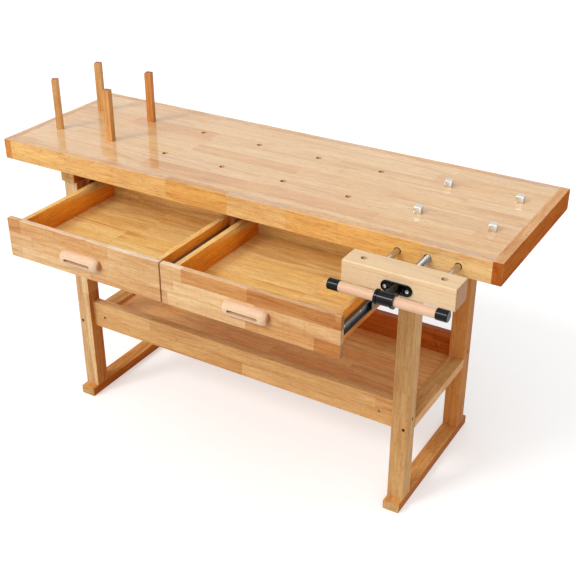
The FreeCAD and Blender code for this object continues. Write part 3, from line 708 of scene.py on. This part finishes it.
jaw_wood = stave_wood("jaw_wood", JAW_TONES, "X", "Z", gloss=0.36, **PLAIN_LOOK)
pull_wood = stave_wood("pull_wood", PULL_TONES, "X", "Z", gloss=0.36, **PLAIN_LOOK)
bar_wood = stave_wood("bar_wood", BAR_TONES, "X", "Z", gloss=0.3, **PLAIN_LOOK)
dress(jaw_wood, "vise_jaw")
dress(pull_wood, "left_drawer_pull", "right_drawer_pull")
dress(bar_wood, "vise_bar")
for place, tones in PEG_TONES.items():
    dress(stave_wood(place + "_peg_wood", tones, "Z", "X", **PEG_LOOK), "peg_" + place)

# %% [markdown]
# ## Metals
# Metal takes its look from what it mirrors, so its colour stays plain and its roughness does the work. One
# recipe makes all the metals: stretched noise gives the streaks of rolling, grinding or brushing, and a
# second, broad noise gives the marks of handling. Both move the roughness, and the deepest marks are a
# little darker.

# %% Recipe for metal
METAL_ALONG, METAL_ACROSS, METAL_DETAIL = 25.0, 900.0, 3.0
METAL_SWING = 0.08
METAL_RELIEF = 0.3
METAL_DEPTH = 0.00005
MARK_SCALE = 60.0
MARK_DETAIL = 4.0
MARK_LEVEL = (0.3, 0.7)
DULL_SHARE = 0.75


def times(colour, share):
    """Colour with its light multiplied by a share."""
    red, green, blue, opaque = colour
    return red * share, green * share, blue * share, opaque


def worked_metal(name, colour, rough, along, swing=METAL_SWING, across=METAL_ACROSS):
    """Metal with streaks of work along one axis and broad handling marks."""
    finish = Finish(name)
    spot = finish.add("TexCoord").outputs["Object"]
    streak = grain_noise(finish, spot, along, METAL_ALONG, across, METAL_DETAIL)
    mark = even_noise(finish, spot, MARK_SCALE, MARK_DETAIL)
    level = finish.sum("MULTIPLY_ADD", mark, HALF, finish.sum("MULTIPLY", streak, HALF))
    gloss = finish.between(level, *MARK_LEVEL, rough - swing, rough + swing)
    colours = [times(colour, DULL_SHARE), colour, colour]
    finish.feed(finish.shader.inputs["Roughness"], gloss)
    finish.feed(finish.shader.inputs["Base Color"], graded(finish, level, colours))
    finish.shader.inputs["Metallic"].default_value = 1.0
    finish.relief(streak, METAL_RELIEF, METAL_DEPTH)
    return finish.material


print("metal streaks are", METAL_ACROSS / METAL_ALONG, "times as long as wide")

# %% [markdown]
# Steel is not one grey. The ground rods are bright, the rolled runners dull and streaked, the plated screws
# cloudy, the frame's bolts blackened and the dogs brushed. For cloudy metal the streaks are made as broad
# as the marks. The screw of the vise gets its own, darker steel, which its thread will wear later.

# %% Dress the metals
RUNNER_PARTS = ("outer", "middle", "inner")
DOGS = ["dog_" + place for place in PEG_TONES]

bright_steel = worked_metal("bright_steel", chart_colour(196, 193, 186), rough=0.22, along="Y")
screw_steel = worked_metal("screw_steel", chart_colour(150, 148, 143), rough=0.34, along="Z")
rolled_steel = worked_metal("rolled_steel", chart_colour(126, 126, 123), rough=0.44, along="Y")
plated_steel = worked_metal("plated_steel", chart_colour(200, 198, 192), rough=0.32, along="Z",
                            across=MARK_SCALE)
blackened_steel = worked_metal("blackened_steel", chart_colour(62, 58, 55), rough=0.42, along="Z",
                               across=MARK_SCALE)
dog_metal = worked_metal("brushed_dog_metal", chart_colour(212, 212, 208), rough=0.32, along="Z", swing=0.06)
dress(bright_steel, "vise_guide_rods", "vise_screw", "vise_tie_plate")
dress(rolled_steel, *(side + "_drawer_" + part + "_runners" for side in FRAME_SIDES for part in RUNNER_PARTS))
dress(plated_steel, "barrel_nuts", "wood_screws", "vise_flange_screws")
dress(blackened_steel, "frame_bolts")
dress(dog_metal, *DOGS)

# %% [markdown]
# ## Black parts
# The flange and the hub are castings under thick gloss paint, which pulls smooth but keeps a faint
# orange-peel. The caps on the bar are moulded plastic, a little duller. The nut plate behind the apron is
# dark, rough iron. One recipe serves again: a fine grain for the skin and broad marks where the gloss is
# worn.

# %% Recipe for black parts
SKIN_DETAIL = 3.0
WORN_SHARE = 1.8


def black_coat(name, colour, rough, swing, grain, relief, shine):
    """Dark paint or plastic with a fine skin and worn spots in its gloss."""
    finish = Finish(name)
    spot = finish.add("TexCoord").outputs["Object"]
    skin = even_noise(finish, spot, grain, SKIN_DETAIL)
    wear = even_noise(finish, spot, MARK_SCALE, MARK_DETAIL)
    gloss = finish.between(wear, *MARK_LEVEL, rough - swing, rough + swing)
    colours = [colour, colour, times(colour, WORN_SHARE)]
    finish.feed(finish.shader.inputs["Roughness"], gloss)
    finish.feed(finish.shader.inputs["Base Color"], graded(finish, wear, colours))
    finish.relief(skin, relief, BUMP_DEPTH)
    finish.shader.inputs["Specular IOR Level"].default_value = shine
    return finish.material


black_paint = black_coat("gloss_black_paint", chart_colour(4, 4, 5), rough=0.10, swing=0.03, grain=350.0,
                         relief=0.03, shine=0.17)
black_plastic = black_coat("black_plastic", chart_colour(5, 5, 6), rough=0.12, swing=0.03, grain=900.0,
                           relief=0.03, shine=0.17)
cast_iron = black_coat("dark_cast_iron", chart_colour(58, 57, 56), rough=0.6, swing=0.1, grain=500.0,
                       relief=0.8, shine=0.3)
dress(black_paint, "vise_flange", "vise_hub")
dress(black_plastic, "vise_bar_caps")
dress(cast_iron, "vise_nut_plate")
print("pieces without a finish:", sorted(set(nodes) - dressed))

# %% [markdown]
# ## Soft edges
# No real edge is perfectly sharp: sandpaper, paint and varnish take off about a millimetre, and that small
# round catches the light. The CAD meshes must keep their vertices, so the edges are broken with modifiers.
# A weld first joins the faces of the import, then a bevel rounds every edge that turns by more than the set
# angle.

# %% Soften the edges
EDGE_ANGLE = math.radians(35)
WELD_REACH = 0.00002
EDGE_SEGMENTS = 2
BOARD_EDGE = 0.0008
FLANGE_EDGE = 0.0015
DOG_EDGE = 0.0006
DRAWER_BOARDS = ("front", "inner_side", "outer_side", "back")


def soften(width, *names):
    """Weld and bevel CAD pieces without touching their own vertices."""
    for name in names:
        weld = nodes[name].modifiers.new("weld", "WELD")
        weld.merge_threshold = WELD_REACH
        bevel = nodes[name].modifiers.new("soft_edges", "BEVEL")
        bevel.width = width
        bevel.segments = EDGE_SEGMENTS
        bevel.limit_method = "ANGLE"
        bevel.angle_limit = EDGE_ANGLE
        bevel.harden_normals = True
        for face in nodes[name].data.polygons:
            face.use_smooth = True
    print("softened", len(names), "pieces by", width * MILLIMETRES, "mm")


soften(BOARD_EDGE, *(side + "_drawer_" + board for side in FRAME_SIDES for board in DRAWER_BOARDS))
soften(BOARD_EDGE, *HANGERS)
soften(FLANGE_EDGE, "vise_flange")
soften(DOG_EDGE, *DOGS)

# %% [markdown]
# ## Vise screw
# The screw of the vise is a steel bar with one long thread wound round it. The CAD model carries plain
# rings, which fit well and look wrong up close. Blender's Screw modifier could wind a profile, but a sleeve
# of points is easier to control. Two helpers serve it and all the small fasteners after it: one lays a ring
# of points round an axis, and one skins a row of such rings into a closed piece.

# %% Lay rings and skin them
SMOOTH_ANGLE = math.radians(35)


def all_round(radius):
    """Radius that is the same at every angle."""
    return lambda angle: radius


def ring_round(middle, axis, steps, radius_at):
    """Ring of points round an axis, with a radius for each angle."""
    first, second = (index for index in AXES.values() if index != axis)
    ring = []
    for step in range(steps):
        angle = math.tau * step / steps
        point = Vector(middle)
        point[first] += radius_at(angle) * math.cos(angle)
        point[second] += radius_at(angle) * math.sin(angle)
        ring.append(point)
    return ring


def skinned(name, sleeves, material, body):
    """One piece made of closed sleeves, each a row of rings with the same number of points."""
    shape = bmesh.new()
    for rings in sleeves:
        rows = [[shape.verts.new(point) for point in ring] for ring in rings]
        for low, high in zip(rows, rows[1:]):
            for step in range(len(low)):
                shape.faces.new((low[step - 1], low[step], high[step], high[step - 1]))
        shape.faces.new(rows[0])
        shape.faces.new(rows[-1])
    bmesh.ops.recalc_face_normals(shape, faces=shape.faces)
    mesh = bpy.data.meshes.new(name)
    shape.to_mesh(mesh)
    shape.free()
    mesh.shade_smooth()
    mesh.set_sharp_from_angle(angle=SMOOTH_ANGLE)
    mesh.materials.append(material)
    piece = bpy.data.objects.new(name, mesh)
    bpy.context.scene.collection.objects.link(piece)
    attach(piece, body)
    print(name, "has", len(mesh.polygons), "faces and rides on", body)
    return piece


print("edges stay sharp above", round(math.degrees(SMOOTH_ANGLE)), "degrees")

# %% [markdown]
# On a thread each point's radius depends on how far it lies along its own turn: full on the crest, less
# down the flank, least at the root. Going round the bar also moves the point along the turn, and that is
# what winds the rings into one thread. In front of the jaw's back face the bar is plain.

# %% Wind the thread
THREAD_PITCH = 0.005
THREAD_DEPTH = 0.002
CREST_END, ROOT_START, ROOT_END = 0.35, 0.5, 0.85
ROUND_STEPS = 24
RINGS_PER_TURN = 8


def thread_radius(turn, outer):
    """Radius at a place along the thread, where one turn runs from 0 to 1."""
    share = turn % 1.0
    if share < CREST_END:
        return outer
    if share < ROOT_START:
        return outer - THREAD_DEPTH * (share - CREST_END) / (ROOT_START - CREST_END)
    if share < ROOT_END:
        return outer - THREAD_DEPTH
    return outer - THREAD_DEPTH * (1.0 - share) / (1.0 - ROOT_END)


def vise_screw_ring(depth, thread_start, low, high):
    """Ring of points round the screw at one depth, plain in front of the thread."""
    outer = (high[0] - low[0]) / 2
    middle = ((low[0] + high[0]) / 2, depth, (low[2] + high[2]) / 2)
    if depth <= thread_start:
        return ring_round(middle, AXES["Y"], ROUND_STEPS, all_round(outer))
    turn = (depth - thread_start) / THREAD_PITCH
    return ring_round(middle, AXES["Y"], ROUND_STEPS,
                      lambda angle: thread_radius(turn - angle / math.tau, outer))


screw_low, screw_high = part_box("vise_screw")
thread_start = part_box("vise_jaw")[1][1]
ring_gap = THREAD_PITCH / RINGS_PER_TURN
ring_count = int((screw_high[1] - thread_start) / ring_gap)
thread_depths = [thread_start + step * ring_gap for step in range(ring_count)]
screw_depths = [screw_low[1], *thread_depths, screw_high[1]]
screw_rings = [vise_screw_ring(depth, thread_start, screw_low, screw_high) for depth in screw_depths]
vise_screw = skinned("vise_screw_thread", [screw_rings], screw_steel, "vise_screw")
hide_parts("vise_screw")

# %% [markdown]
# ## Screw and bolt heads
# Two pan-head screws hold the flange, and eight bolts with hexagon sockets hold the frame. Their places
# could be typed in, but reading them from the CAD piece keeps them right when the model changes. Corners
# that hang together by edges belong to one solid, so walking from corner to corner sorts a piece into its
# fasteners.

# %% Find the solids in a piece
def solids_of(name):
    """Corner points of each separate solid in a CAD piece."""
    shape = bmesh.new()
    shape.from_mesh(nodes[name].data)
    bmesh.ops.remove_doubles(shape, verts=shape.verts, dist=WELD_REACH)
    waiting = set(shape.verts)
    solids = []
    for start in shape.verts:
        if start not in waiting:
            continue
        waiting.remove(start)
        reached = [start]
        solid = []
        while reached:
            corner = reached.pop()
            solid.append(corner.co.copy())
            beside = {edge.other_vert(corner) for edge in corner.link_edges} & waiting
            waiting -= beside
            reached.extend(beside)
        solids.append(solid)
    shape.free()
    return solids


def box_of(points):
    """Lowest and highest corner of some points."""
    low = Vector([min(point[axis] for point in points) for axis in AXES.values()])
    high = Vector([max(point[axis] for point in points) for axis in AXES.values()])
    return low, high


print("solids in frame_bolts:", len(solids_of("frame_bolts")))

# %% [markdown]
# A recess is struck into each head with a punch. Seen from above it is an outline round the middle: for a
# hexagon the distance to a straight wall, for a cross the distance to the end or the side of an arm. Both
# are written as a distance for each angle, the form that a ring needs.

# %% Outlines of the two recesses
HEX_REACH = 0.52
HEX_SECTOR = math.pi / 3
CROSS_REACH = 0.55
CROSS_WIDTH = 0.13


def hex_socket(angle, head_radius):
    """Distance from the middle to the wall of a hexagon socket."""
    return HEX_REACH * head_radius / math.cos((angle + HEX_SECTOR / 2) % HEX_SECTOR - HEX_SECTOR / 2)


def cross_recess(angle, head_radius):
    """Distance from the middle to the wall of a cross recess."""
    from_arm = abs((angle + QUARTER_TURN / 2) % QUARTER_TURN - QUARTER_TURN / 2)
    arm_end = CROSS_REACH * head_radius / math.cos(from_arm)
    if arm_end * math.sin(from_arm) < CROSS_WIDTH * head_radius:
        return arm_end
    return CROSS_WIDTH * head_radius / math.sin(from_arm)


print("hexagon corner at", round(hex_socket(HEX_SECTOR / 2, 1.0), 2), "of the head's radius")

# %% [markdown]
# A head is turned on a lathe, and so are its rings: from the seat up over the crown, in to the outline of
# the recess and down to its floor, which is narrower because the punch is tapered. Each kind of head is a
# small dictionary. Its crown lists shares of the radius and of the height.

# %% Turn a head
RECESS_TAPER = 0.88
PAN_HEAD = {
    "crown": ((1.0, 0.0), (1.0, 0.55), (0.9, 0.9), (0.76, 1.0)),
    "recess": cross_recess,
    "recess_share": 1.0,
    "recess_depth": 0.7,
    "steps": 48,
}
SOCKET_HEAD = {**PAN_HEAD, "recess": hex_socket}


def head_rings(seat, axis, outward, radius, height, head):
    """Rings of a head, from its seat over the crown into the recess."""

    def ring(level, radius_at):
        place = Vector(seat)
        place[axis] += outward * level * height
        return ring_round(place, axis, head["steps"], radius_at)

    def recess_at(angle):
        return head["recess"](angle, head["recess_share"] * radius)

    rings = []
    for share, level in head["crown"]:
        rings.append(ring(level, all_round(share * radius)))
    rings.append(ring(1.0, recess_at))
    rings.append(ring(1.0 - head["recess_depth"], lambda angle: RECESS_TAPER * recess_at(angle)))
    return rings


print("a pan head has", len(PAN_HEAD["crown"]), "rings on its crown")

# %% [markdown]
# What is left is to measure each CAD fastener. Its long side is its axis, the corners that lie farthest
# from that axis are the head, and the rest are the shank. The new piece has the same axis, seat, length and
# radius, so it can take the place of the CAD piece.

# %% Replace the fasteners
HEAD_SHARE = 0.9


def fastener_rings(corners, head):
    """Rings of one fastener, from the tip of its shank over its head into the recess."""
    low, high = box_of(corners)
    middle = (low + high) / 2
    axis = max(AXES.values(), key=lambda index: high[index] - low[index])
    reach = {}
    for corner in corners:
        offset = corner - middle
        offset[axis] = 0.0
        reach[tuple(corner)] = offset.length
    head_radius = max(reach.values())
    head_levels = [corner[axis] for corner, far in reach.items() if far > HEAD_SHARE * head_radius]
    shank_radius = max(far for far in reach.values() if far <= HEAD_SHARE * head_radius)
    outward = 1 if min(head_levels) > middle[axis] else -1
    seat, tip = middle.copy(), middle.copy()
    seat[axis] = min(head_levels) if outward > 0 else max(head_levels)
    tip[axis] = low[axis] if outward > 0 else high[axis]
    height = max(head_levels) - min(head_levels)
    shank = [ring_round(end, axis, head["steps"], all_round(shank_radius)) for end in (tip, seat)]
    return shank + head_rings(seat, axis, outward, head_radius, height, head)


screw_sleeves = [fastener_rings(solid, PAN_HEAD) for solid in solids_of("vise_flange_screws")]
flange_screws = skinned("flange_pan_screws", screw_sleeves, plated_steel, "vise_jaw")
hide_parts("vise_flange_screws")
bolt_sleeves = [fastener_rings(solid, SOCKET_HEAD) for solid in solids_of("frame_bolts")]
bolts = skinned("frame_socket_bolts", bolt_sleeves, blackened_steel, "bench")
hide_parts("frame_bolts")

# %% [markdown]
# ## Runner fittings
# Each inner runner is held to its drawer by small pan-head screws, which show when the drawer stands open.
# They are too small for the CAD model, so they are added here and ride on the drawer. Each runner is a
# channel, and the helper finds the flat web in it and the way its open side looks: away from the drawer on
# the inner runners, towards it on the middle ones.

# %% Screw the runners to the drawers
RUNNER_SHEET = 0.0012
RUNNER_HEAD_RADIUS = 0.0036
RUNNER_HEAD_HEIGHT = 0.0014
RUNNER_SCREW_PLACES = (0.030, 0.110, 0.230, 0.320)
RUNNER_HEAD = {
    "crown": ((1.0, 0.0), (1.0, 0.4), (0.8, 0.9), (0.5, 1.0)),
    "recess": cross_recess,
    "recess_share": 0.8,
    "recess_depth": 0.6,
    "steps": ROUND_STEPS,
}
AWAY, TOWARDS = 1, -1


def channel_webs(side, part, opens):
    """Middle of the web at the front of each channel of a drawer's runners, and the way it opens."""
    drawer_low, drawer_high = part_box(side + "_drawer_floor")
    drawer_middle = (drawer_low[0] + drawer_high[0]) / 2
    webs = []
    for channel in solids_of(side + "_drawer_" + part + "_runners"):
        low, high = box_of(channel)
        outward = opens if low[0] > drawer_middle else -opens
        web = low[0] + RUNNER_SHEET if outward > 0 else high[0] - RUNNER_SHEET
        webs.append((Vector((web, low[1], (low[2] + high[2]) / 2)), outward))
    return webs


for side in FRAME_SIDES:
    heads = []
    for web, outward in channel_webs(side, "inner", AWAY):
        for place in RUNNER_SCREW_PLACES:
            seat = web + Vector((0.0, place, 0.0))
            heads.append(head_rings(seat, AXES["X"], outward, RUNNER_HEAD_RADIUS, RUNNER_HEAD_HEIGHT,
                                    RUNNER_HEAD))
    skinned(side + "_runner_screws", heads, plated_steel, side + "_drawer")

# %% [markdown]
# A black moulded stop sits at the front of each middle runner. It is a small block with cut corners, so two
# rings of eight points are enough. It rides on the middle runner, which moves half as far as the drawer.

# %% Fit the stops of the middle runners
STOP_GAP = 0.0015
STOP_LENGTH = 0.045
STOP_REACH = 0.0058
STOP_HALF_HEIGHT = 0.009
STOP_CORNER = 0.0015


def stop_rings(web, outward):
    """Rings of a moulded stop with cut corners, from the web of a runner outwards."""
    inside = STOP_HALF_HEIGHT - STOP_CORNER
    near, far = STOP_CORNER, STOP_LENGTH - STOP_CORNER
    outline = [(-STOP_HALF_HEIGHT, near), (-inside, 0.0), (inside, 0.0), (STOP_HALF_HEIGHT, near),
               (STOP_HALF_HEIGHT, far), (inside, STOP_LENGTH), (-inside, STOP_LENGTH),
               (-STOP_HALF_HEIGHT, far)]
    rings = []
    for reach in (0.0, STOP_REACH):
        rings.append([web + Vector((outward * reach, STOP_GAP + depth, height)) for height, depth in outline])
    return rings


for side in FRAME_SIDES:
    stops = [stop_rings(web, outward) for web, outward in channel_webs(side, "middle", TOWARDS)]
    skinned(side + "_runner_stops", stops, black_plastic, side + "_middle_runner")
